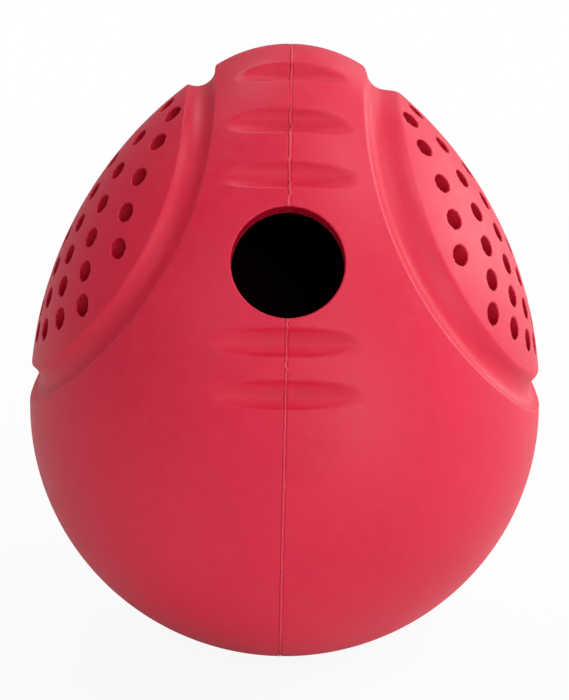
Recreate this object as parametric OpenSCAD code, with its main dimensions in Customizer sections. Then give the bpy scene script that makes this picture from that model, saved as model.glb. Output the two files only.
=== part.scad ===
// Treat dispensing ball: a hollow rubber egg, moulded as two half shells and bonded on the plane x = 0.
// Millimetres, +Z up, the treat opening faces -Y, and the origin is the centre of the flat foot.

/* [Body] */
// Diameter of the round lower body
body_d = 90; // [76:1:106]
// Radius of the rounded crown
crown_r = 23.5; // [19:0.5:29]
// Height of the crown's centre above the centre of the lower body
crown_rise = 41.2; // [34:0.1:50]
// How far the flank swells past a straight line from the lower body to the crown
flank_bulge = 4.36; // [3:0.02:6]
// Thickness of the rubber wall
wall = 4.5; // [3.6:0.1:6.5]
// Thickness of the floor over the foot
floor_t = 8; // [5:0.5:14]
// Diameter of the flat foot that the ball stands on
foot_d = 20; // [12:1:32]

/* [Treat opening] */
// Diameter of the round opening
opening_d = 18.6; // [14:0.1:20]
// Height angle of the opening, seen from the centre of the lower body
opening_angle = 46.6; // [44:0.1:50]

/* [Grip grooves] */
// Radius of the cut that makes a grip groove
grip_r = 2.55; // [2:0.05:3]
// Depth of a grip groove below the skin
grip_depth = 1.7; // [1:0.05:2]
// Angle from the opening to the nearest groove on either side
grip_gap_angle = 15.2; // [14.5:0.1:17]
// Angle from groove to groove above the opening
upper_step_angle = 9.8; // [8:0.1:11]
// Angle from groove to groove below the opening
lower_step_angle = 10.3; // [8:0.1:11]
// Number of grooves above the opening
grips_above = 3; // [1:1:3]
// Number of grooves below the opening
grips_below = 2; // [1:1:3]

/* [Side panels] */
// Tilt of the panel's axis above the horizontal
panel_tilt = 38.8; // [34:0.1:44]
// Height at which the panel's axis starts, above the centre of the lower body
panel_rise = 8.5; // [5:0.1:12]
// Radius of the channel round the panel, measured square to the panel's axis
channel_ring_r = 29.7; // [28.5:0.1:31]
// Radius of the channel's round section
channel_r = 3.4; // [2.6:0.1:4]
// Depth of the channel below the skin
channel_depth = 1.75; // [1:0.05:2.2]

/* [Dimples] */
// Diameter of a dimple
dimple_d = 3.5; // [2.5:0.1:3.8]
// Depth of a dimple, along the panel's axis
dimple_depth = 2.5; // [1.5:0.1:3]
// Slope of the straight rows of dimples, seen from the side of the egg
row_tilt = 54.1; // [50:0.1:58]
// Distance from row to row, seen from the side
row_pitch = 6.5; // [6.1:0.05:6.9]
// Distance from dimple to dimple along a row, seen from the side
dimple_pitch = 5.75; // [5.5:0.05:6.2]
// How far the middle row runs below and behind the panel's middle
row_offset = 2.9; // [2.5:0.1:3.1]
// Step up the row of the dimples in the second row above the middle one
fan_step = 0.85; // [0.5:0.05:1.2]
// Growth of that step for each row further up
fan_growth = 0.7; // [0.4:0.02:0.8]
// Growth of the pitch along a row for each such row
fan_pitch = 0.3; // [0.1:0.05:0.4]
// Radius of the round field that the dimples fill
field_r = 23.4; // [22.4:0.1:24.4]
// How far past the field a dimple may lie and still be drawn in to its edge
field_slack = 1.7; // [1.3:0.1:1.9]
// Height of the zone that dimples are drawn in from, as a share of its width
field_height_share = 1.05; // [1.03:0.01:1.07]

/* [Seam] */
// Thickness of the bonding rubber between the two shells
bond_t = 0.6; // [0.3:0.05:1.2]
// Height of the bead that the bonding rubber raises above the skin
bead_h = 0.3; // [0.1:0.05:0.6]

/* [Hidden] */
// Overrun of every cut past the face that it cuts
overrun = 6;
// How far the opening's cut runs inward past the skin, in walls
opening_reach_share = 2.4;
// Rows, and dimples of a row, that the field may hold on each side of the middle
field_rows = 6;
channel_stations = 84;
channel_sides = 14;
$fn = 120;

rubber = [0.84, 0.22, 0.31];
bond_rubber = [0.78, 0.18, 0.27];

body_r = body_d / 2;
foot_r = foot_d / 2;
// Height of the centre of the lower body above the foot
centre_z = sqrt(body_r * body_r - foot_r * foot_r);
floor_z = floor_t - centre_z;

// The flank's arc is tangent to the lower body and to the crown, and its centre lies behind the axis
taper = body_r - crown_r;
tangent_l = sqrt(pow(crown_rise, 2) - pow(taper, 2));
bulge_l = (pow(tangent_l, 2) - 2 * flank_bulge * taper) / (2 * tangent_l);
flank_to_body = (pow(bulge_l, 2) / flank_bulge + flank_bulge) / 2;
flank_to_crown = flank_to_body + taper;
flank_r = body_r + flank_to_body;
flank_z = (pow(flank_to_body, 2) - pow(flank_to_crown, 2) + pow(crown_rise, 2)) / (2 * crown_rise);
flank_x = sqrt(pow(flank_to_body, 2) - pow(flank_z, 2));
body_joins_z = -flank_z * body_r / flank_to_body;
crown_joins_z = crown_rise + crown_r * (crown_rise - flank_z) / flank_to_crown;
span = 2 * flank_r;
// How far the flank is tucked under the two round ends, so that the arcs cross and leave no step
flank_tuck = 0.02;

// The point of the skin's outline that a height angle sees, and the skin's slope and normal there
function skin_distance(angle) = ray_hit([0, 0, 0], [0, -cos(angle), sin(angle)], span);
function skin_point(angle) = skin_distance(angle) * [0, -cos(angle), sin(angle)];

function around(p) = norm([p.x, p.y]);
function inside(p) =
    p.z < body_joins_z ? norm(p) < body_r :
    p.z > crown_joins_z ? norm([around(p), p.z - crown_rise]) < crown_r :
    norm([around(p) + flank_x, p.z - flank_z]) < flank_r;

// Distance along a ray, from a start inside the egg, to the skin
function ray_hit(from, direction, high, low = 0, turns = 30) =
    turns == 0 ? (low + high) / 2 :
    inside(from + direction * (low + high) / 2) ?
        ray_hit(from, direction, high, (low + high) / 2, turns - 1) :
        ray_hit(from, direction, (low + high) / 2, low, turns - 1);

function unit(v) = v / norm(v);
function skin_normal(p) =
    p.z < body_joins_z ? unit(p) :
    p.z > crown_joins_z ? unit(p - [0, 0, crown_rise]) :
    unit([
        p.x * (around(p) + flank_x) / around(p),
        p.y * (around(p) + flank_x) / around(p),
        p.z - flank_z
    ]);

// A panel's own frame: u runs back along +Y, v runs up the panel, and the axis points out of the egg
panel_axis = [cos(panel_tilt), 0, sin(panel_tilt)];
panel_up = [-sin(panel_tilt), 0, cos(panel_tilt)];
function panel_base(u, v) = [0, u, panel_rise] + v * panel_up;
function panel_height(u, v) = ray_hit(panel_base(u, v), panel_axis, span);
function panel_skin(u, v) = panel_base(u, v) + panel_height(u, v) * panel_axis;

// The channel's centre line runs where a cylinder about the panel's axis meets the skin
function channel_foot(turn) = panel_skin(channel_ring_r * cos(turn), channel_ring_r * sin(turn));
function channel_centre(turn) =
    channel_foot(turn) + (channel_r - channel_depth) * skin_normal(channel_foot(turn));
channel_turn = 360 / channel_stations;
function channel_along(turn) =
    unit(channel_centre(turn + channel_turn) - channel_centre(turn - channel_turn));
function channel_ring(turn) =
    let (
        out = skin_normal(channel_foot(turn)),
        side = unit(cross(channel_along(turn), out)),
        up = cross(side, channel_along(turn))
    )
    [for (i = [0 : channel_sides - 1])
        let (a = 360 * i / channel_sides)
        channel_centre(turn) + channel_r * (cos(a) * up + sin(a) * side)];

// The dimples' rows are straight lines in the side view, and fan out above the middle of the panel
panel_middle = panel_skin(0, 0);
function fan(row) = max(0, row - 1);
function across_rows(row) = row_pitch * row - row_offset;
function along_row(row, hole) =
    fan_step * fan(row) + fan_growth * pow(fan(row), 2) + (dimple_pitch + fan_pitch * fan(row)) * hole;
function side_point(across, along) = [
    0,
    along * cos(row_tilt) - across * sin(row_tilt),
    along * sin(row_tilt) + across * cos(row_tilt) + panel_middle.z
];
function above(side) = side + ray_hit(side, [1, 0, 0], span) * [1, 0, 0];
function panel_place(side) = [side.y, (above(side) - panel_base(0, 0)) * panel_up];
function drawn_in(place) = place * min(1, field_r / norm(place));
dimple_places = [
    for (row = [-field_rows : field_rows])
        for (hole = [-field_rows : field_rows])
            let (side = side_point(across_rows(row), along_row(row, hole)))
            if (inside(side))
                let (place = panel_place(side))
                if (norm([place.x, place.y / field_height_share]) < field_r + field_slack) drawn_in(place)
];

grip_angles = [
    for (i = [0 : grips_above - 1]) opening_angle + grip_gap_angle + i * upper_step_angle,
    for (i = [0 : grips_below - 1]) opening_angle - grip_gap_angle - i * lower_step_angle
];
function grip_centre(angle) = (skin_distance(angle) + grip_r - grip_depth) * [-cos(angle), sin(angle)];

opening_point = skin_point(opening_angle);
opening_normal = skin_normal(opening_point);
opening_tilt = atan2(opening_normal.z, -opening_normal.y);

// Half of the egg's section in the plane, on the side of positive x, grown by a given amount
module half_section(grow) {
    reach = span + wall;
    intersection() {
        union() {
            circle(r = body_r + grow);
            translate([0, crown_rise]) circle(r = crown_r + grow);
            intersection() {
                translate([-flank_x, flank_z]) circle(r = flank_r - flank_tuck + grow);
                polygon([
                    [-flank_x, flank_z],
                    [-flank_x, flank_z] + reach * unit([flank_x, -flank_z]),
                    [-flank_x, flank_z] + reach * unit([flank_x, crown_rise - flank_z])
                ]);
            }
        }
        translate([0, -reach]) square([reach, 2 * reach]);
    }
}

module whole_section(grow) {
    half_section(grow);
    mirror([1, 0]) half_section(grow);
}

module egg(grow) {
    rotate_extrude() half_section(grow);
}

module below(height) {
    translate([-span, -span, height - 2 * span]) cube(2 * span);
}

module cavity() {
    difference() {
        egg(-wall);
        below(floor_z);
    }
}

module opening_cut() {
    translate(opening_point)
        rotate([90 - opening_tilt, 0, 0])
            translate([0, 0, -opening_reach_share * wall])
                cylinder(d = opening_d, h = opening_reach_share * wall + overrun);
}

module grip_cuts() {
    for (angle = grip_angles)
        translate([0, grip_centre(angle).x, grip_centre(angle).y])
            rotate([0, 90, 0])
                cylinder(r = grip_r, h = body_d, center = true);
}

// The channel round a side panel: a round section swept along a curve that lies on the egg's skin
module channel_cut() {
    points = [for (s = [0 : channel_stations - 1]) each channel_ring(s * channel_turn)];
    faces = [
        for (s = [0 : channel_stations - 1])
            for (i = [0 : channel_sides - 1])
                let (
                    next = (s + 1) % channel_stations,
                    j = (i + 1) % channel_sides,
                    a = s * channel_sides + i,
                    b = s * channel_sides + j,
                    c = next * channel_sides + j,
                    d = next * channel_sides + i
                )
                each [[a, c, b], [a, d, c]]
    ];
    polyhedron(points = points, faces = faces);
}

module dimple_cuts() {
    translate([0, 0, panel_rise])
        rotate([0, 90 - panel_tilt, 0])
            for (place = dimple_places)
                translate([-place.y, place.x, panel_height(place.x, place.y) - dimple_depth])
                    cylinder(d = dimple_d, h = dimple_depth + overrun, $fn = 24);
}

// One moulded half of the egg, on the side of positive x
module half_shell() {
    difference() {
        translate([0, 0, centre_z])
            difference() {
                egg(0);
                cavity();
                opening_cut();
                grip_cuts();
                channel_cut();
                dimple_cuts();
            }
        below(0);
        translate([bond_t / 2 - 2 * span, -span, -span]) cube(2 * span);
    }
}

module left_shell() {
    color(rubber) mirror([1, 0, 0]) half_shell();
}

module right_shell() {
    color(rubber) half_shell();
}

// The layer that bonds the shells, cut to the wall's section, with a low bead outside and inside
module bond_outline() {
    difference() {
        whole_section(bead_h);
        difference() {
            whole_section(-wall - bead_h);
            translate([-span, floor_z + bead_h - 2 * span]) square(2 * span);
        }
        for (angle = grip_angles)
            translate(grip_centre(angle)) circle(r = grip_r - bead_h);
    }
}

module bond_seam() {
    color(bond_rubber)
        difference() {
            translate([0, 0, centre_z])
                difference() {
                    rotate([90, 0, 90])
                        linear_extrude(height = bond_t, center = true) bond_outline();
                    opening_cut();
                }
            below(0);
        }
}

left_shell();
right_shell();
bond_seam();
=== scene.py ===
"""A hollow rubber treat egg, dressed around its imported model: two moulded half shells
and the layer of rubber that bonds them."""

import math

import bpy
import numpy as np
from mathutils import Matrix, Vector

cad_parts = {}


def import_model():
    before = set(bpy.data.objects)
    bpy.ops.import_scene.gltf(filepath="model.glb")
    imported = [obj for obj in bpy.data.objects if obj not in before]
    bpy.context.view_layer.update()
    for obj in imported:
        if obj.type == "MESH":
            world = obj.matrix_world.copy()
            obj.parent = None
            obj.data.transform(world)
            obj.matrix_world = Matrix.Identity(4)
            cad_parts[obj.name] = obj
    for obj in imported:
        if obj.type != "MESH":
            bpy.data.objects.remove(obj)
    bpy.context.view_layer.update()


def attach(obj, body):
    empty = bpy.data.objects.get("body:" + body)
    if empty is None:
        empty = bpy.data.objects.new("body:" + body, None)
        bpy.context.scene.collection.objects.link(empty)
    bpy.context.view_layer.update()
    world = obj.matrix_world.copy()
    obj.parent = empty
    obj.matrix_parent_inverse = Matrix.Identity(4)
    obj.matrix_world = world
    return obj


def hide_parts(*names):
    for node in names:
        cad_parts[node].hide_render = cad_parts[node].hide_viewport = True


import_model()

MM = 0.001

# The egg's sizes in millimetres. Heights are measured from the centre of its round lower body
BODY_R = 45.0
CROWN_R = 23.5
CROWN_RISE = 41.2
FLANK_BULGE = 4.36
WALL = 4.5
FLOOR_T = 8.0
FOOT_R = 10.0
CENTRE_Z = math.sqrt(BODY_R**2 - FOOT_R**2)
BODY_CENTRE = np.array([0, 0, CENTRE_Z])

# The lower body is a little less deep than round: its depth below its centre, as a share of its radius.
# This leaves a flat foot that is smaller than the round body's
BODY_DEPTH_SHARE = 0.986

# The treat opening, at an angle in degrees above level
OPENING_R = 9.3
OPENING_ANGLE = 46.6
OPENING_CUT_DEPTH = 3 * WALL

# The grip grooves: the angle from the opening's middle to the first, and the steps from each to the next
GRIP_R = 2.55
GRIP_DEPTH = 1.7
GRIP_GAP_ANGLE = 15.2
UPPER_STEP_ANGLE = 9.8
LOWER_STEP_ANGLE = 10.3
GRIPS_ABOVE = 3
GRIPS_BELOW = 2

# The tilted side panel, and the round channel on a ring about its axis, which drops a little at its lowest
PANEL_TILT = 38.8
PANEL_RISE = 8.5
CHANNEL_RING_R = 29.7
CHANNEL_R = 3.4
CHANNEL_DEPTH = 1.75
CHANNEL_REACH = 3 * CHANNEL_R
CHANNEL_DROP = 1.2
DROP_POWER = 4

# The dimples of a panel: blind round holes in even rows on a slope. Above the panel's middle each row
# starts further along and its holes lie further apart, and holes past the field's edge are drawn in to it
DIMPLE_R = 1.7
DIMPLE_DEPTH = 3.0
DIMPLE_REACH = 2 * DIMPLE_R
ROW_TILT = 54.1
ROW_PITCH = 6.5
DIMPLE_PITCH = 5.75
ROW_OFFSET = 2.9
FAN_STEP = 0.85
FAN_GROWTH = 0.7
FAN_PITCH = 0.3
FIELD_R = 23.4
FIELD_SLACK = 1.7
FIELD_HEIGHT_SHARE = 1.05
FIELD_ROWS = 6
FIELD_REACH = FIELD_R + 3 * DIMPLE_R

# Each half's mould holds its dimples a little off the common rule: how far back and how far up the panel
DIMPLE_SHIFT = {"left": (-0.51, 0.6), "right": (-0.09, 0.15)}

# The halves' skins close over the bonded layer, which lies a little deeper, so that only its bead shows
BOND_T = 0.6
SKIN_GAP = 0.2
LAYER_SINK = 0.15
BEAD_H = 0.21
BEAD_SINK = 0.02

# Radii of the moulded edges
FOOT_EDGE_R = 1.0
CHAMBER_FLOOR_EDGE_R = 3.0
OPENING_EDGE_R = 0.35
GRIP_EDGE_R = 0.35
DIMPLE_EDGE_R = 0.15
DIMPLE_FLOOR_EDGE_R = 0.5
SEAM_EDGE_R = 0.4

# The channel's edges are worn differently on the two halves. Their radii are given at shares of the way
# from the ring's top to its bottom, and one edge's radius blends into the other's in the channel's middle
RING_SHARES = (0, 0.25, 0.5, 0.85, 1)
PANEL_EDGE_R = {"left": (0.15, 0.3, 0.3, 0.3, 0.2), "right": (1.4, 2.4, 2.2, 0.6, 0.6)}
BODY_EDGE_R = {"left": (0.15, 0.3, 0.25, 0.45, 0.9), "right": (0.9, 0.5, 0.35, 0.3, 0.2)}
EDGE_BLEND = 1.2

# The flank's arc is tangent to the lower body and to the crown, and its centre lies across the axis
TAPER = BODY_R - CROWN_R
TANGENT_L = math.sqrt(CROWN_RISE**2 - TAPER**2)
BULGE_L = (TANGENT_L**2 - 2 * FLANK_BULGE * TAPER) / (2 * TANGENT_L)
FLANK_TO_BODY = (BULGE_L**2 / FLANK_BULGE + FLANK_BULGE) / 2
FLANK_TO_CROWN = FLANK_TO_BODY + TAPER
FLANK_R = BODY_R + FLANK_TO_BODY
FLANK_Z = (FLANK_TO_BODY**2 - FLANK_TO_CROWN**2 + CROWN_RISE**2) / (2 * CROWN_RISE)
FLANK_X = math.sqrt(FLANK_TO_BODY**2 - FLANK_Z**2)
FLOOR_Z = FLOOR_T - CENTRE_Z

# Limits of the searches for a surface, in millimetres and in turns
RAY_REACH = 120.0
RAY_TURNS = 40
SLIDE_TURNS = 2
CHANNEL_STATIONS = 720
GRADIENT_STEP = 0.02
NEAR_SKIN = 1.0
SETTLE_REACH = 0.3

# Steps of the grids that the pieces are meshed on, finer towards the seam, and the pieces' triangles
GRID_STEP = 0.28
SEAM_STEP = 0.14
SEAM_BAND = 0.8
SEAM_MARGIN = 0.3
BEAD_STEP = 0.07
BEAD_REACH = 0.98
HALF_TRIANGLES = 190_000
SEAM_TRIANGLES = 90_000
CELL_CORNERS = [(i, j, k) for i in (0, 1) for j in (0, 1) for k in (0, 1)]


def unit(v):
    """Vectors brought to length 1."""
    return v / np.linalg.norm(v, axis=-1, keepdims=True)


def eased(share):
    """A share from 0 to 1 with a gentle start and end."""
    return share * share * (3 - 2 * share)


def egg_distance(p):
    """Distance of points from the egg's skin, negative inside. It is a close estimate below the centre."""
    around = np.hypot(p[:, 0], p[:, 1])
    z = np.where(p[:, 2] < 0, p[:, 2] / BODY_DEPTH_SHARE, p[:, 2])
    from_flank = np.hypot(around + FLANK_X, z - FLANK_Z) - FLANK_R
    from_body = np.hypot(around, z) - BODY_R
    from_crown = np.hypot(around, z - CROWN_RISE) - CROWN_R
    below = FLANK_X * (z - FLANK_Z) + FLANK_Z * (around + FLANK_X) < 0
    above = FLANK_X * (z - FLANK_Z) - (CROWN_RISE - FLANK_Z) * (around + FLANK_X) > 0
    return np.where(below, from_body, np.where(above, from_crown, from_flank))


def ray_hit(start, direction):
    """Distance along rays, from starts inside the egg, to its skin."""
    low = np.zeros(len(start))
    high = np.full(len(start), RAY_REACH)
    for _ in range(RAY_TURNS):
        middle = (low + high) / 2
        inside = egg_distance(start + direction * middle[:, None]) < 0
        low = np.where(inside, middle, low)
        high = np.where(inside, high, middle)
    return (low + high) / 2


def gradient(distance, p):
    """Unit gradient of a distance function, from the corners of a small tetrahedron."""
    corners = np.array([[1, 1, 1], [1, -1, -1], [-1, 1, -1], [-1, -1, 1]], float)
    return unit(sum(distance(p + GRADIENT_STEP * c)[:, None] * c for c in corners))


def front_sight(angle):
    """Direction from the axis straight out to the front, at an angle above level."""
    a = math.radians(angle)
    return np.array([[0, -math.cos(a), math.sin(a)]])


def skin_reach(sight):
    """Distance from the lower body's centre to the skin in one direction."""
    return ray_hit(np.zeros((1, 3)), sight)[0]


# A panel's own frame: u runs back along +Y, v runs up the panel, and w runs out along the panel's axis
PANEL_OUT = np.array([math.cos(math.radians(PANEL_TILT)), 0, math.sin(math.radians(PANEL_TILT))])
PANEL_UP = np.array([-PANEL_OUT[2], 0, PANEL_OUT[0]])
PANEL_ORIGIN = np.array([0, 0, PANEL_RISE])


def panel_place(p):
    """The places u, v and w of points in the frame of the right panel."""
    return p[:, 1], (p - PANEL_ORIGIN) @ PANEL_UP, (p - PANEL_ORIGIN) @ PANEL_OUT


def panel_skin(u, v):
    """The egg's skin above places (u, v) of the panel, and the height w of the skin there."""
    start = PANEL_ORIGIN + np.outer(u, [0, 1, 0]) + np.outer(v, PANEL_UP)
    w = ray_hit(start, PANEL_OUT)
    return start + w[:, None] * PANEL_OUT, w


def ring_r(up):
    """Radius of the channel's ring where the sine of its turn is up: it drops a little at its lowest."""
    return CHANNEL_RING_R + CHANNEL_DROP * np.clip(-up, 0, 1) ** DROP_POWER


def channel_line():
    """The channel's centre line, just outside the skin, at even turns about the panel's axis."""
    turn = np.arange(CHANNEL_STATIONS) * 2 * math.pi / CHANNEL_STATIONS
    radius = ring_r(np.sin(turn))
    foot, _ = panel_skin(radius * np.cos(turn), radius * np.sin(turn))
    return foot + (CHANNEL_R - CHANNEL_DEPTH) * gradient(egg_distance, foot)


def channel_distance(p, u, v):
    """Distance from the round-sectioned channel, found by sliding along its centre line."""
    place = (np.arctan2(v, u) / (2 * math.pi)) % 1 * CHANNEL_STATIONS
    for _ in range(SLIDE_TURNS):
        low = np.floor(place).astype(int) % CHANNEL_STATIONS
        share = (place - np.floor(place))[:, None]
        along = CHANNEL_LINE[(low + 1) % CHANNEL_STATIONS] - CHANNEL_LINE[low]
        centre = CHANNEL_LINE[low] + share * along
        step = np.linalg.norm(along, axis=1)
        slip = np.einsum("ij,ij->i", p - centre, along) / step**2
        place = place + slip
    offset = p - centre - slip[:, None] * along
    return np.linalg.norm(offset, axis=1) - CHANNEL_R


def dimple_places():
    """Places (u, v) of the dimples: rows that are straight from the side and fan out above the middle."""
    tilt = math.radians(ROW_TILT)
    middle_z = panel_skin([0], [0])[0][0, 2]
    places = []
    for row in range(-FIELD_ROWS, FIELD_ROWS + 1):
        fan = max(0, row - 1)
        for hole in range(-FIELD_ROWS, FIELD_ROWS + 1):
            across = ROW_PITCH * row - ROW_OFFSET
            along = FAN_STEP * fan + FAN_GROWTH * fan**2 + (DIMPLE_PITCH + FAN_PITCH * fan) * hole
            y = along * math.cos(tilt) - across * math.sin(tilt)
            z = along * math.sin(tilt) + across * math.cos(tilt) + middle_z
            side = np.array([[0, y, z]])
            if egg_distance(side)[0] > 0:
                continue
            x = ray_hit(side, np.array([1, 0, 0]))[0]
            v = (np.array([x, y, z]) - PANEL_ORIGIN) @ PANEL_UP
            if math.hypot(y, v / FIELD_HEIGHT_SHARE) < FIELD_R + FIELD_SLACK:
                places.append(np.array([y, v]) * min(1, FIELD_R / math.hypot(y, v)))
    return np.array(places)


def grip_centres():
    """Centres (y, z) of the round cuts that make the grip grooves."""
    angles = [OPENING_ANGLE + GRIP_GAP_ANGLE + i * UPPER_STEP_ANGLE for i in range(GRIPS_ABOVE)]
    angles += [OPENING_ANGLE - GRIP_GAP_ANGLE - i * LOWER_STEP_ANGLE for i in range(GRIPS_BELOW)]
    sights = [front_sight(angle) for angle in angles]
    return [(skin_reach(sight) + GRIP_R - GRIP_DEPTH) * sight[0, 1:] for sight in sights]


OPENING_SIGHT = front_sight(OPENING_ANGLE)
OPENING_POINT = (skin_reach(OPENING_SIGHT) * OPENING_SIGHT)[0]
OPENING_OUT = gradient(egg_distance, OPENING_POINT[None])[0]
CHANNEL_LINE = channel_line()
DIMPLES = dimple_places()
GRIPS = grip_centres()


def joined(a, b, r):
    """Distance of what two bodies share, with a fillet of radius r on their common edge."""
    return np.minimum(np.maximum(a, b), -r) + np.hypot(np.maximum(a + r, 0), np.maximum(b + r, 0))


def cut(body, tool, r):
    """Distance of a body less a tool, with a fillet of radius r on the new edge."""
    return joined(body, -tool, r)


def hollow_distance(p):
    """Distance of points from the hollow egg, before anything is cut into it."""
    egg = egg_distance(p)
    chamber = joined(egg + WALL, FLOOR_Z - p[:, 2], CHAMBER_FLOOR_EDGE_R)
    return np.maximum(egg, -chamber)


def gripped_distance(p):
    """Distance of points from the hollow egg with its grip grooves."""
    body = hollow_distance(p)
    for y, z in GRIPS:
        body = cut(body, np.hypot(p[:, 1] - y, p[:, 2] - z) - GRIP_R, GRIP_EDGE_R)
    return body


def opened_distance(body, p):
    """The distance of a body less the treat opening and what lies below the foot."""
    off = p - OPENING_POINT
    along = off @ OPENING_OUT
    across = np.sqrt(np.maximum(np.einsum("ij,ij->i", off, off) - along**2, 0))
    tool = np.where(along > -OPENING_CUT_DEPTH, across - OPENING_R, BODY_R)
    return joined(cut(body, tool, OPENING_EDGE_R), -p[:, 2] - CENTRE_Z, FOOT_EDGE_R)


def channel_cut(body, p, u, v, side):
    """The distance of a body less the channel, with edges rounded by their side and place on the ring."""
    from_axis = np.hypot(u, v)
    down = (1 - v / from_axis) / 2
    panel_r = np.interp(down, RING_SHARES, PANEL_EDGE_R[side])
    body_r = np.interp(down, RING_SHARES, BODY_EDGE_R[side])
    inward = eased(np.clip(0.5 + (ring_r(v / from_axis) - from_axis) / EDGE_BLEND, 0, 1))
    return cut(body, channel_distance(p, u, v), body_r + inward * (panel_r - body_r))


def dimple_cut(body, across, floor):
    """The distance of a body less a round dimple with a rounded floor."""
    return cut(body, joined(across, floor, DIMPLE_FLOOR_EDGE_R), DIMPLE_EDGE_R)


def dimpled_distance(body, u, v, w, side):
    """The distance of a body less all dimples of one side."""
    body = body.copy()
    places = DIMPLES + DIMPLE_SHIFT[side]
    for (hole_u, hole_v), skin_w in zip(places, panel_skin(*places.T)[1]):
        near = (np.abs(u - hole_u) < DIMPLE_REACH) & (np.abs(v - hole_v) < DIMPLE_REACH)
        across = np.hypot(u[near] - hole_u, v[near] - hole_v) - DIMPLE_R
        body[near] = dimple_cut(body[near], across, skin_w - DIMPLE_DEPTH - w[near])
    return body


def moulded_distance(p, side):
    """Distance of points from the whole moulded egg, with the channel and dimples of one side."""
    body = gripped_distance(p)
    u, v, w = panel_place(p)
    from_axis = np.hypot(u, v)
    near = (np.abs(from_axis - CHANNEL_RING_R) < CHANNEL_REACH) & (w > 0)
    if near.any():
        body[near] = channel_cut(body[near], p[near], u[near], v[near], side)
    near = (from_axis < FIELD_REACH) & (w > 0) & (np.abs(body) < WALL)
    body[near] = dimpled_distance(body[near], u[near], v[near], w[near], side)
    return opened_distance(body, p)


def half_distance(p, side):
    """Distance of points from one moulded half, on the side of positive x."""
    return joined(moulded_distance(p, side), SKIN_GAP / 2 - p[:, 0], SEAM_EDGE_R)


# The bead's course, from under the foot up the front and over the crown to the back. A row holds the angle
# that a place is seen at from inside the egg, the bead's height there as a share of its usual one, and
# its sway to the right in millimetres
BEAD_EYE_Z = 10.0
BEAD_COURSE = (
    (0, 0.3, 0),
    (30, 0.3, 0),
    (40, 0.9, 0),
    (45, 0.9, 0),
    (46, 1.2, 0.1),
    (47, 0.8, 0),
    (79, 0.8, 0),
    (80, 1.2, 0.1),
    (81, 0.8, 0),
    (99.3, 0.8, 0),
    (99.7, 0, 0),
    (101, 0, 0),
    (101.4, 0.9, 0),
    (103.6, 1, 0),
    (104.4, 1, 0.35),
    (105.3, 1, -0.3),
    (106, 0.8, 0),
    (112.8, 0.8, 0),
    (113.4, 1, 0.25),
    (114.2, 0.9, -0.1),
    (115, 1, 0.2),
    (116, 0.8, 0),
    (141, 1.2, -0.15),
    (141.8, 0.9, 0.1),
    (150, 1, 0),
    (157, 1, 0),
    (158.4, 1, 0.3),
    (159.5, 1, 0),
    (160.8, 1.1, -0.2),
    (161.2, 0.1, 0.5),
    (167, 0.1, 0.6),
    (167.6, 0.9, 0),
    (178, 0.7, 0),
    (186, 0.15, 0),
    (205, 0.15, 0),
    (215, 0.9, 0),
    (330, 0.9, 0),
    (340, 0.3, 0),
    (360, 0.3, 0),
)

# Small waves along the bead: their pitch in degrees, how much they change the bead's height, and how far
# they sway it in its wavy stretch and elsewhere
WAVE_PITCH = 0.9
HEIGHT_SEED = 5
SWAY_SEED = 7
HEIGHT_WAVE_SHARE = 0.12
WAVY_FROM, WAVY_TO = 141.5, 160.5
WAVY_SWAY = 0.09
CALM_SWAY = 0.03


def wave(angle, seed):
    """Seeded noise of about unit size that varies along the bead."""
    places = angle / WAVE_PITCH
    low = np.floor(places).astype(int)
    share = eased(places - low)
    knots = np.random.default_rng(seed).normal(0, 1, int(360 / WAVE_PITCH) + 2)
    return knots[low] * (1 - share) + knots[low + 1] * share


def bead_course(p):
    """Radius and sway of the round bead nearest to points."""
    angle = np.degrees(np.arctan2(-p[:, 1], BEAD_EYE_Z - p[:, 2])) % 360
    at, height, sway = np.transpose(BEAD_COURSE)
    height = np.interp(angle, at, height) * (1 + HEIGHT_WAVE_SHARE * wave(angle, HEIGHT_SEED))
    swing = np.where((angle > WAVY_FROM) & (angle < WAVY_TO), WAVY_SWAY, CALM_SWAY)
    return BEAD_H * height + BEAD_SINK, np.interp(angle, at, sway) + swing * wave(angle, SWAY_SEED)


def seam_distance(p):
    """Distance of points from the layer between the halves, with the thin bead squeezed out of it."""
    body = gripped_distance(p)
    across = np.abs(p[:, 0])
    layer = np.maximum(body + LAYER_SINK, across - BOND_T / 2)
    neck = np.maximum(body, across - SKIN_GAP / 2)
    radius, sway = bead_course(p)
    round_bead = np.hypot(p[:, 0] - sway, body + BEAD_SINK) - radius
    return opened_distance(np.minimum(np.minimum(layer, neck), round_bead), p)


def grid_axis(low, high, step):
    """Even grid lines from low to high, at most a step apart."""
    return np.linspace(low, high, int(math.ceil((high - low) / step)) + 1)


def height_axes():
    """Grid lines along y and z that take in the whole egg."""
    margin = 2 * GRID_STEP
    ys = grid_axis(-BODY_R - margin, BODY_R + margin, GRID_STEP)
    zs = grid_axis(-CENTRE_Z - margin, CROWN_RISE + CROWN_R + margin, GRID_STEP)
    return ys, zs


def net_points(values, cells, axes):
    """A vertex for each cell: the middle of the places where the zero surface crosses its edges."""
    total = np.zeros((len(cells), 3))
    count = np.zeros(len(cells))
    for a in CELL_CORNERS:
        for axis in range(3):
            if a[axis] == 1:
                continue
            b = tuple(c + (n == axis) for n, c in enumerate(a))
            at_a = values[tuple((cells + a).T)]
            at_b = values[tuple((cells + b).T)]
            crossed = (at_a < 0) != (at_b < 0)
            share = np.where(crossed, at_a / np.where(crossed, at_a - at_b, 1), 0)
            place = np.array(a, float) + np.outer(share, np.eye(3)[axis])
            total += place * crossed[:, None]
            count += crossed
    local = total / count[:, None]
    return np.column_stack([
        line[cells[:, n]] + local[:, n] * (line[cells[:, n] + 1] - line[cells[:, n]])
        for n, line in enumerate(axes)
    ])


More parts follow.
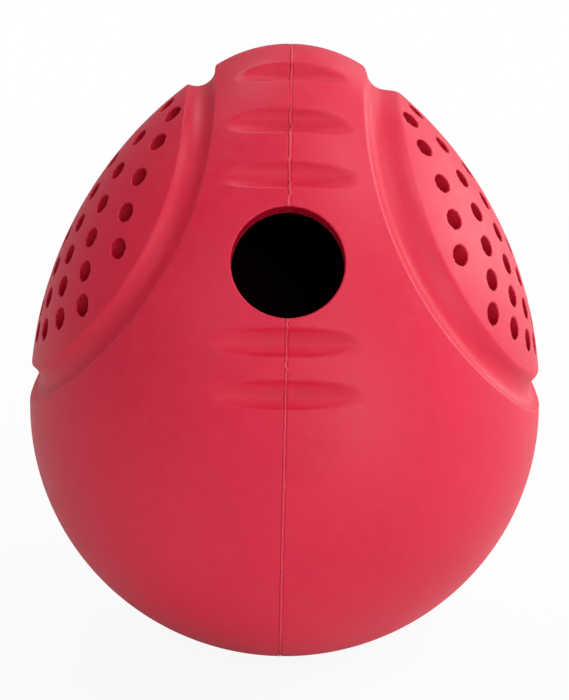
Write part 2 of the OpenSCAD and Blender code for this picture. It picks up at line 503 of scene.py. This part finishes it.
def net_quads(inside, number, axis):
    """Quads around the grid edges along one axis that the surface crosses, facing outwards."""
    one, two = (axis + 1) % 3, (axis + 2) % 3
    ahead = np.moveaxis(inside, axis, 0)
    crossed = np.moveaxis(ahead[:-1] != ahead[1:], 0, axis)
    nodes = np.argwhere(crossed)
    inner = (nodes[:, one] > 0) & (nodes[:, one] < inside.shape[one] - 1)
    inner &= (nodes[:, two] > 0) & (nodes[:, two] < inside.shape[two] - 1)
    nodes = nodes[inner]
    ring = []
    for back_one, back_two in ((1, 1), (0, 1), (0, 0), (1, 0)):
        cell = nodes.copy()
        cell[:, one] -= back_one
        cell[:, two] -= back_two
        ring.append(number[tuple(cell.T)])
    ring = np.column_stack(ring)
    outward = inside[tuple(nodes.T)]
    return np.where(outward[:, None], ring, ring[:, ::-1])


def surface_net(values, axes):
    """Vertices and quads of the zero surface of values on a grid, with a vertex in each crossed cell."""
    inside = values < 0
    shape = tuple(n - 1 for n in values.shape)
    filled = np.zeros(shape, np.int8)
    for i, j, k in CELL_CORNERS:
        filled += inside[i : i + shape[0], j : j + shape[1], k : k + shape[2]]
    cells = np.argwhere((filled > 0) & (filled < len(CELL_CORNERS)))
    number = np.full(shape, -1, np.int32)
    number[tuple(cells.T)] = np.arange(len(cells))
    quads = np.concatenate([net_quads(inside, number, axis) for axis in range(3)])
    return net_points(values, cells, axes), quads


def settle(points, distance, turns):
    """Points moved onto the zero surface of a distance function."""
    for _ in range(turns):
        move = distance(points)[:, None] * gradient(distance, points)
        points = points - np.clip(move, -SETTLE_REACH, SETTLE_REACH)
    return points


def in_frame(points):
    """Places in the shared frame, in metres, of points in millimetres about the lower body's centre."""
    return (points + BODY_CENTRE) * MM


def about_centre(places):
    """Points in millimetres about the lower body's centre, of places in the shared frame."""
    return places / MM - BODY_CENTRE


def mesh_of(name, points, faces):
    """A Blender mesh from points and faces with the same number of corners each."""
    mesh = bpy.data.meshes.new(name)
    corners = faces.shape[1]
    mesh.vertices.add(len(points))
    mesh.vertices.foreach_set("co", in_frame(points).astype(np.float32).ravel())
    mesh.loops.add(faces.size)
    mesh.loops.foreach_set("vertex_index", faces.astype(np.int32).ravel())
    mesh.polygons.add(len(faces))
    mesh.polygons.foreach_set("loop_start", np.arange(len(faces), dtype=np.int32) * corners)
    mesh.update(calc_edges=True)
    mesh.validate()
    return mesh


def points_of(mesh):
    """The vertices of a mesh as points about the lower body's centre."""
    places = np.empty(len(mesh.vertices) * 3, np.float32)
    mesh.vertices.foreach_get("co", places)
    return about_centre(places.reshape(-1, 3).astype(float))


def put(obj):
    """The object, linked into the scene."""
    bpy.context.scene.collection.objects.link(obj)
    return obj


def thinned(mesh, triangles):
    """The mesh with about the given number of triangles, fewest where it is flattest."""
    mesh.calc_loop_triangles()
    obj = put(bpy.data.objects.new("thinning", mesh))
    modifier = obj.modifiers.new("thin", "DECIMATE")
    modifier.ratio = min(1.0, triangles / len(mesh.loop_triangles))
    result = bpy.data.meshes.new_from_object(obj.evaluated_get(bpy.context.evaluated_depsgraph_get()))
    name = mesh.name
    bpy.data.objects.remove(obj)
    bpy.data.meshes.remove(mesh)
    result.name = name
    return result


def netted(name, distance, axes, triangles):
    """A mesh of a distance function's zero surface on a grid, with its exact points and normals."""
    values = np.empty([len(a) for a in axes], np.float32)
    x, y = (a.ravel() for a in np.meshgrid(axes[0], axes[1], indexing="ij"))
    for k, z in enumerate(axes[2]):
        p = np.column_stack([x, y, np.full(len(x), z)])
        layer = hollow_distance(p)
        near = layer < NEAR_SKIN
        layer[near] = distance(p[near])
        values[:, :, k] = layer.reshape(values.shape[:2])
    points, quads = surface_net(values, axes)
    mesh = thinned(mesh_of(name, settle(points, distance, turns=1), quads), triangles)
    points = settle(points_of(mesh), distance, turns=2)
    return mesh, points, gradient(distance, points)


def finished(mesh, points, normals):
    """An object of a mesh with its last points and its true surface's normals."""
    mesh.vertices.foreach_set("co", in_frame(points).astype(np.float32).ravel())
    mesh.update()
    mesh.polygons.foreach_set("use_smooth", np.ones(len(mesh.polygons), bool))
    mesh.normals_split_custom_set_from_vertices(normals.astype(np.float32))
    return put(bpy.data.objects.new(mesh.name, mesh))


def half_shell(name, side):
    """One moulded half, with finer steps across where it meets the seam."""
    fine_to = BOND_T / 2 + SEAM_BAND
    fine = grid_axis(SKIN_GAP / 2 - SEAM_MARGIN, fine_to, SEAM_STEP)
    coarse = grid_axis(fine_to, BODY_R + 2 * GRID_STEP, GRID_STEP)
    axes = (np.concatenate([fine, coarse[1:]]), *height_axes())
    mesh, points, normals = netted(name, lambda p: half_distance(p, side), axes, HALF_TRIANGLES)
    if side == "left":
        points[:, 0] *= -1
        normals[:, 0] *= -1
        mesh.flip_normals()
    return finished(mesh, points, normals)


def bond_seam(name):
    """The layer that bonds the halves, with its uneven bead of squeezed-out rubber."""
    axes = (grid_axis(-BEAD_REACH, BEAD_REACH, BEAD_STEP), *height_axes())
    return finished(*netted(name, seam_distance, axes, SEAM_TRIANGLES))


def node(tree, kind, **inputs):
    """A shader node, with each named input linked from a socket or set to a value."""
    made = tree.nodes.new(kind)
    for name, value in inputs.items():
        socket = made.inputs[name.replace("_", " ")]
        if isinstance(value, bpy.types.NodeSocket):
            tree.links.new(value, socket)
        else:
            socket.default_value = value
    return made


def noise(tree, coords, size, detail, roughness=0.5):
    """Noise whose grains measure about the given size in metres."""
    settings = {"Scale": 1 / size, "Detail": detail, "Roughness": roughness}
    return node(tree, "ShaderNodeTexNoise", Vector=coords, **settings).outputs["Fac"]


def spread(tree, value, band, result):
    """A value whose band, from low to high, is spread over the result's range."""
    low, high = band
    to_low, to_high = result
    limits = {"From_Min": low, "From_Max": high, "To_Min": to_low, "To_Max": to_high}
    return node(tree, "ShaderNodeMapRange", Value=value, **limits).outputs["Result"]


def combined(tree, operation, a, b):
    """The result of a sum or product of two values."""
    made = tree.nodes.new("ShaderNodeMath")
    made.operation = operation
    tree.links.new(a, made.inputs[0])
    tree.links.new(b, made.inputs[1])
    return made.outputs["Value"]


def coloured(tree, share, a, b):
    """Colour between a and b by a share, where a and b are colours or sockets."""
    made = tree.nodes.new("ShaderNodeMix")
    made.data_type = "RGBA"
    tree.links.new(share, made.inputs["Factor"])
    for name, value in (("A", a), ("B", b)):
        socket = next(s for s in made.inputs if s.name == name and s.type == "RGBA")
        if isinstance(value, bpy.types.NodeSocket):
            tree.links.new(value, socket)
        else:
            socket.default_value = (*value, 1)
    return next(s for s in made.outputs if s.type == "RGBA")


# Sizes of the rubber's mottle and grain in metres, and the bands of noise that each change runs over
CLOUD_SIZE = 14 * MM
BLOTCH_SIZE = 2.6 * MM
SPECK_SIZE = 0.35 * MM
GRAIN_HEIGHT = 0.06 * MM
GRAIN_STRENGTH = 0.5
CLOUD_BAND = (0.35, 0.65)
PALE_BAND = (0.45, 0.75)
PALE_SHARE = 0.5
BLOTCH_ROUGHNESS = 0.6
GLOSS_BAND = (0.3, 0.7)
SKIN_ROUGHNESS = (0.45, 0.55)
SHINE = 0.47
SHEEN = 0.05
SHEEN_ROUGHNESS = 0.4
RECESS_SHINE = 0.12


def rubber(name, base, pale, dark, shine=SHINE, sheen=SHEEN):
    """Matte moulded rubber: mottled colour, a faint bloom and a soft fine grain."""
    material = bpy.data.materials.new(name)
    material.use_nodes = True
    tree = material.node_tree
    shader = tree.nodes["Principled BSDF"]
    coords = node(tree, "ShaderNodeTexCoord").outputs["Object"]
    cloud = noise(tree, coords, CLOUD_SIZE, detail=3)
    blotch = noise(tree, coords, BLOTCH_SIZE, detail=4, roughness=BLOTCH_ROUGHNESS)
    speck = noise(tree, coords, SPECK_SIZE, detail=2)
    clouded = coloured(tree, spread(tree, cloud, CLOUD_BAND, (0, 1)), dark, base)
    colour = coloured(tree, spread(tree, blotch, PALE_BAND, (0, PALE_SHARE)), clouded, pale)
    tree.links.new(colour, shader.inputs["Base Color"])
    grain = combined(tree, "ADD", speck, blotch)
    bump = node(tree, "ShaderNodeBump", Strength=GRAIN_STRENGTH, Distance=GRAIN_HEIGHT, Height=grain)
    tree.links.new(bump.outputs["Normal"], shader.inputs["Normal"])
    tree.links.new(spread(tree, blotch, GLOSS_BAND, SKIN_ROUGHNESS), shader.inputs["Roughness"])
    shader.inputs["Specular IOR Level"].default_value = shine
    shader.inputs["Sheen Weight"].default_value = sheen
    shader.inputs["Sheen Roughness"].default_value = SHEEN_ROUGHNESS
    return material


BASE = (0.72, 0.0075, 0.047)
PALE = (0.75, 0.02, 0.062)
DARK = (0.69, 0.0055, 0.044)
# The bead's paler rubber is a painted highlight for its bright lit ridge
BEAD_HIGHLIGHT = (0.78, 0.045, 0.092)
BEAD_HIGHLIGHT_PALE = (0.82, 0.07, 0.12)
BEAD_HIGHLIGHT_DARK = (0.74, 0.035, 0.08)
# The darker, duller rubber in the dimples and on the opening's wall is painted shade
RECESS_SHADE = (0.5, 0.003, 0.022)
RECESS_SHADE_DARK = (0.42, 0.002, 0.018)
# The chamber's near-black rubber is painted shade for the dark hollow inside the egg
CHAMBER_SHADE = (0.1, 0.006, 0.012)

skin_rubber = rubber("rubber_skin", BASE, PALE, DARK)
bead_highlight_rubber = rubber("rubber_bead_painted_highlight", BEAD_HIGHLIGHT, BEAD_HIGHLIGHT_PALE, BEAD_HIGHLIGHT_DARK)
chamber_shade_rubber = rubber("rubber_inside_painted_shade", CHAMBER_SHADE, CHAMBER_SHADE, CHAMBER_SHADE)
recess_shade_rubber = rubber("rubber_recess_painted_shade", RECESS_SHADE, RECESS_SHADE, RECESS_SHADE_DARK, RECESS_SHINE, sheen=0)

# How deep below the skin the painted shade of the recesses starts, how far it reaches past a hole's own
# radius, and how far into the wall the chamber's painted shade reaches, in millimetres
RECESS_DEPTH = 0.14
RECESS_SLACK = 0.1
CHAMBER_DEPTH = 0.3

# The places of the three rubbers in each piece's list of materials: its own, then the chamber's and the
# recesses' painted shade
OWN_SLOT, CHAMBER_SHADE_SLOT, RECESS_SHADE_SLOT = 0, 1, 2


def recessed(p):
    """Whether points lie down in a dimple or on the treat opening's wall, where shade is painted."""
    off = p - OPENING_POINT
    along = off @ OPENING_OUT
    across = np.linalg.norm(off - along[:, None] * OPENING_OUT, axis=1)
    found = (along > -WALL) & (across < OPENING_R + RECESS_SLACK)
    u, v, w = panel_place(np.column_stack([np.abs(p[:, 0]), p[:, 1], p[:, 2]]))
    for side, sign in (("left", -1), ("right", 1)):
        near = (w > 0) & (sign * p[:, 0] > 0)
        for hole_u, hole_v in DIMPLES + DIMPLE_SHIFT[side]:
            found |= near & (np.hypot(u - hole_u, v - hole_v) < DIMPLE_R + RECESS_SLACK)
    return found & (egg_distance(p) < -RECESS_DEPTH)


def chambered(p):
    """Whether points lie on the chamber's wall or floor, where shade is painted."""
    return (egg_distance(p) < CHAMBER_DEPTH - WALL) & (p[:, 2] > FLOOR_Z - CHAMBER_DEPTH)


def dress(obj, material, node_name):
    """Gives a piece its rubber, with painted shade in the recesses and in the chamber, and its place in
    the frame.
    """
    for one in (material, chamber_shade_rubber, recess_shade_rubber):
        obj.data.materials.append(one)
    middles = np.empty(len(obj.data.polygons) * 3, np.float32)
    obj.data.polygons.foreach_get("center", middles)
    middles = about_centre(middles.reshape(-1, 3))
    slots = np.where(recessed(middles), RECESS_SHADE_SLOT, OWN_SLOT)
    slots = np.where(chambered(middles), CHAMBER_SHADE_SLOT, slots)
    obj.data.polygons.foreach_set("material_index", slots.astype(np.int32))
    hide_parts(node_name)
    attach(obj, "root")


dress(half_shell("left_half", "left"), skin_rubber, "left_shell")
dress(half_shell("right_half", "right"), skin_rubber, "right_shell")
dress(bond_seam("seam_bead"), bead_highlight_rubber, "bond_seam")


# The photograph's camera: its distance and turn about the lower body's centre, in millimetres and degrees,
# and where that centre lies in the picture
PICTURE_W, PICTURE_H = 569, 700
CENTRE_PX = (284.48, 404.33)
FOCAL_PX = 3000.0
CAMERA_DISTANCE = 532.55
CAMERA_ELEVATION = 19.486
CAMERA_ROLL = 1.1605
CAMERA_YAW = 0.1618
SENSOR = 36.0


def photo_camera():
    """The scene's camera, placed and aimed as in the photograph."""
    e, roll, yaw = (math.radians(a) for a in (CAMERA_ELEVATION, CAMERA_ROLL, CAMERA_YAW))
    turn = Matrix.Rotation(-yaw, 3, "Z")
    level = turn @ Vector((1, 0, 0))
    upright = turn @ Vector((0, math.sin(e), math.cos(e)))
    back = turn @ Vector((0, -math.cos(e), math.sin(e)))
    right = math.cos(roll) * level + math.sin(roll) * upright
    up = math.cos(roll) * upright - math.sin(roll) * level
    aim = -back * FOCAL_PX
    aim += right * (PICTURE_W / 2 - CENTRE_PX[0]) - up * (PICTURE_H / 2 - CENTRE_PX[1])
    forward = aim.normalized()
    right = forward.cross(up).normalized()
    up = right.cross(forward)
    data = bpy.data.cameras.new("camera")
    data.sensor_width = SENSOR
    data.lens = FOCAL_PX * SENSOR / PICTURE_H
    camera = put(bpy.data.objects.new("camera", data))
    place = Vector((0, 0, CENTRE_Z)) * MM + back * CAMERA_DISTANCE * MM
    facing = Matrix((right, up, -forward)).transposed().to_4x4()
    camera.matrix_world = Matrix.Translation(place) @ facing
    bpy.context.scene.camera = camera


# The studio, in metres: where the lamps aim, how far away and how large they are, and the floor. The
# object's shadow shows faintly on the floor and fades out between two distances from the foot
LAMP_AIM = Vector((0, 0, 0.055))
LAMP_DISTANCE = 1.2
LAMP_SIZE = 0.5
AMBIENT = 0.23
FLOOR_R = 6.0
FLOOR_SHADE = (0.84, 0.84, 0.84, 1)
REFLECTED_FLOOR_SHADE = (0.64, 0.64, 0.64, 1)
WHITE = (1, 1, 1, 1)
SHADOW_SHARE = 0.08
SHADOW_NEAR, SHADOW_FAR = 0.12, 0.4


def lamp(name, azimuth, elevation, power):
    """A round softbox around the object: azimuth 0 is in front, 90 at the right."""
    a, e = math.radians(azimuth), math.radians(elevation)
    data = bpy.data.lights.new(name, "AREA")
    data.shape = "DISK"
    data.size = LAMP_SIZE
    data.energy = power
    obj = put(bpy.data.objects.new(name, data))
    outward = Vector((math.sin(a) * math.cos(e), -math.cos(a) * math.cos(e), math.sin(e)))
    obj.location = LAMP_AIM + LAMP_DISTANCE * outward
    obj.rotation_euler = (LAMP_AIM - obj.location).to_track_quat("-Z", "Y").to_euler()


def ray_kind(tree, kind):
    """A share that is 1 for the rays of one kind."""
    return tree.nodes.new("ShaderNodeLightPath").outputs[f"Is {kind} Ray"]


def mixed(tree, share, a, b):
    """Shader between a and b by a share."""
    mix = tree.nodes.new("ShaderNodeMixShader")
    for socket, value in zip(mix.inputs, (share, a, b)):
        tree.links.new(value, socket)
    return mix.outputs[0]


def world():
    """White to the camera, and plain soft light for the rest."""
    made = bpy.data.worlds.new("studio")
    bpy.context.scene.world = made
    made.use_nodes = True
    tree = made.node_tree
    tree.nodes.clear()
    ambient = node(tree, "ShaderNodeBackground", Color=WHITE, Strength=AMBIENT).outputs[0]
    white = node(tree, "ShaderNodeBackground", Color=WHITE, Strength=1.0).outputs[0]
    output = tree.nodes.new("ShaderNodeOutputWorld")
    tree.links.new(mixed(tree, ray_kind(tree, "Camera"), ambient, white), output.inputs["Surface"])


def white_share(tree):
    """How far the floor is plain white: only to the camera, and a little less near the object."""
    coords = node(tree, "ShaderNodeTexCoord").outputs["Object"]
    away = node(tree, "ShaderNodeVectorMath", Vector=coords)
    away.operation = "LENGTH"
    faded = spread(tree, away.outputs["Value"], (SHADOW_NEAR, SHADOW_FAR), (1 - SHADOW_SHARE, 1))
    return combined(tree, "MULTIPLY", ray_kind(tree, "Camera"), faded)


def floor():
    """A pale floor that looks white but for the object's shadow, and shows dimmer in reflections."""
    mesh = bpy.data.meshes.new("floor")
    r = FLOOR_R
    mesh.from_pydata([(-r, -r, 0), (r, -r, 0), (r, r, 0), (-r, r, 0)], [], [(0, 1, 2, 3)])
    obj = put(bpy.data.objects.new("floor", mesh))
    material = bpy.data.materials.new("floor")
    material.use_nodes = True
    tree = material.node_tree
    tree.nodes.clear()
    lit = node(tree, "ShaderNodeBsdfDiffuse", Color=FLOOR_SHADE).outputs[0]
    dim = node(tree, "ShaderNodeBsdfDiffuse", Color=REFLECTED_FLOOR_SHADE).outputs[0]
    white = node(tree, "ShaderNodeEmission", Color=WHITE, Strength=1.0).outputs[0]
    plain = mixed(tree, ray_kind(tree, "Glossy"), lit, dim)
    output = tree.nodes.new("ShaderNodeOutputMaterial")
    tree.links.new(mixed(tree, white_share(tree), plain, white), output.inputs["Surface"])
    mesh.materials.append(material)


photo_camera()
world()
floor()
lamp("front_right", azimuth=35, elevation=0, power=4.5)
lamp("front", azimuth=15, elevation=30, power=2.2)
lamp("front_left", azimuth=-35, elevation=30, power=1.6)
lamp("right", azimuth=105, elevation=22, power=5.2)
lamp("upper_right", azimuth=70, elevation=60, power=4.2)
lamp("low_right", azimuth=130, elevation=10, power=2.4)
lamp("rear", azimuth=150, elevation=30, power=1.5)
lamp("upper_rear", azimuth=-150, elevation=60, power=3.2)

bpy.context.scene.view_settings.view_transform = "Standard"
